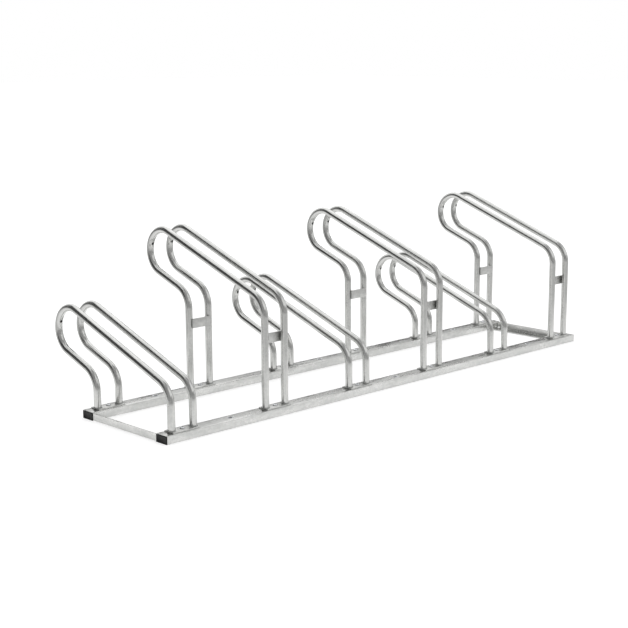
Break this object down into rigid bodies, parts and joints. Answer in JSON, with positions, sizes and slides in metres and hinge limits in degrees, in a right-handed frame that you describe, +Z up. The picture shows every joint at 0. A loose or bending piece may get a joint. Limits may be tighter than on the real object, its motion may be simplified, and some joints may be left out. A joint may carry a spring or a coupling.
{
  "type": "floor bike rack",
  "caption": "Low floor rack for bicycles: paired bent tube hoops hold each front wheel upright, low and high places in turn, on two rails that can be bolted to the ground.",
  "frame": {"origin": "on the floor, under the middle of the rack's bounding box", "axes": "+X along the rails to the right as seen from the front, +Y from the front rail to the rear, where the heads of the hoops stand out, +Z up"},
  "size_m": [1.9, 0.574, 0.5238],
  "materials": {
    "galvanised_tube": "hot-dip galvanised",
    "galvanised_rail": "hot-dip galvanised",
    "galvanised_flat": "hot-dip galvanised",
    "zinc_plated": "bright zinc plated",
    "black_plastic": "moulded, black"
  },
  "bodies": {
    "root": {"rail_front": "galvanised_rail", "end_plug_front_left": "black_plastic", "end_plug_front_right": "black_plastic", "rail_rear": "galvanised_rail", "end_plug_rear_left": "black_plastic", "end_plug_rear_right": "black_plastic", "cross_angle_left": "galvanised_rail", "cross_angle_right": "galvanised_rail", "hoop_1_left": "galvanised_tube", "hoop_1_right": "galvanised_tube", "foot_strip_1_front": "galvanised_flat", "screw_1_front": "zinc_plated", "foot_strip_1_rear": "galvanised_flat", "screw_1_rear": "zinc_plated", "hoop_2_left": "galvanised_tube", "hoop_2_right": "galvanised_tube", "foot_strip_2_front": "galvanised_flat", "screw_2_front": "zinc_plated", "tie_plate_2_front": "galvanised_flat", "foot_strip_2_rear": "galvanised_flat", "screw_2_rear": "zinc_plated", "tie_plate_2_rear": "galvanised_flat", "hoop_3_left": "galvanised_tube", "hoop_3_right": "galvanised_tube", "foot_strip_3_front": "galvanised_flat", "screw_3_front": "zinc_plated", "foot_strip_3_rear": "galvanised_flat", "screw_3_rear": "zinc_plated", "hoop_4_left": "galvanised_tube", "hoop_4_right": "galvanised_tube", "foot_strip_4_front": "galvanised_flat", "screw_4_front": "zinc_plated", "tie_plate_4_front": "galvanised_flat", "foot_strip_4_rear": "galvanised_flat", "screw_4_rear": "zinc_plated", "tie_plate_4_rear": "galvanised_flat", "hoop_5_left": "galvanised_tube", "hoop_5_right": "galvanised_tube", "foot_strip_5_front": "galvanised_flat", "screw_5_front": "zinc_plated", "foot_strip_5_rear": "galvanised_flat", "screw_5_rear": "zinc_plated", "hoop_6_left": "galvanised_tube", "hoop_6_right": "galvanised_tube", "foot_strip_6_front": "galvanised_flat", "screw_6_front": "zinc_plated", "tie_plate_6_front": "galvanised_flat", "foot_strip_6_rear": "galvanised_flat", "screw_6_rear": "zinc_plated", "tie_plate_6_rear": "galvanised_flat"}
  },
  "joints": []
}
